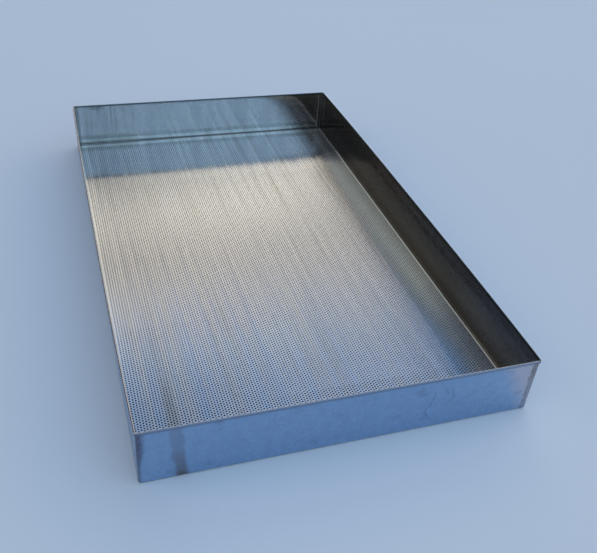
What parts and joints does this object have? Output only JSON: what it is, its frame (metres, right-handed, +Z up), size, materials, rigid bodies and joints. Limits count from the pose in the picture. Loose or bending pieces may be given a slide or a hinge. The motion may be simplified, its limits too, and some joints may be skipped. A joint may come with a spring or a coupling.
{
  "type": "oil drain pan",
  "caption": "Long shallow open-topped rectangular steel pan with a hemmed rim and a lift-out perforated drain plate over a flat sump.",
  "frame": {"origin": "middle of the underside, on the surface the pan stands on", "axes": "+Z up, +Y along the pan from the front wall to the back wall, +X to the right"},
  "size_m": [0.6, 1, 0.1],
  "materials": {
    "pan_sheet": "cold-rolled bright stainless sheet, lightly stained",
    "plate_sheet": "cold-rolled bright perforated stainless sheet with rolling streaks along its length",
    "weld_metal": "weld metal, ground outside, with heat tint",
    "bar_steel": "mill-finish stainless flat bar"
  },
  "bodies": {
    "pan": {"pan_body": "pan_sheet", "corner_weld_front_left": "weld_metal", "corner_weld_front_right": "weld_metal", "corner_weld_back_left": "weld_metal", "corner_weld_back_right": "weld_metal", "bearer_bar_1": "bar_steel", "bearer_bar_2": "bar_steel", "bearer_bar_3": "bar_steel", "bearer_bar_4": "bar_steel", "bearer_bar_5": "bar_steel", "bearer_tack_welds": "weld_metal"},
    "plate": {"drain_plate": "plate_sheet"}
  },
  "joints": [
    {"name": "drain_plate_lift", "type": "slide", "parent": "pan", "child": "plate", "axis": [0, 0, 1], "range_m": [0, 0.12]}
  ]
}
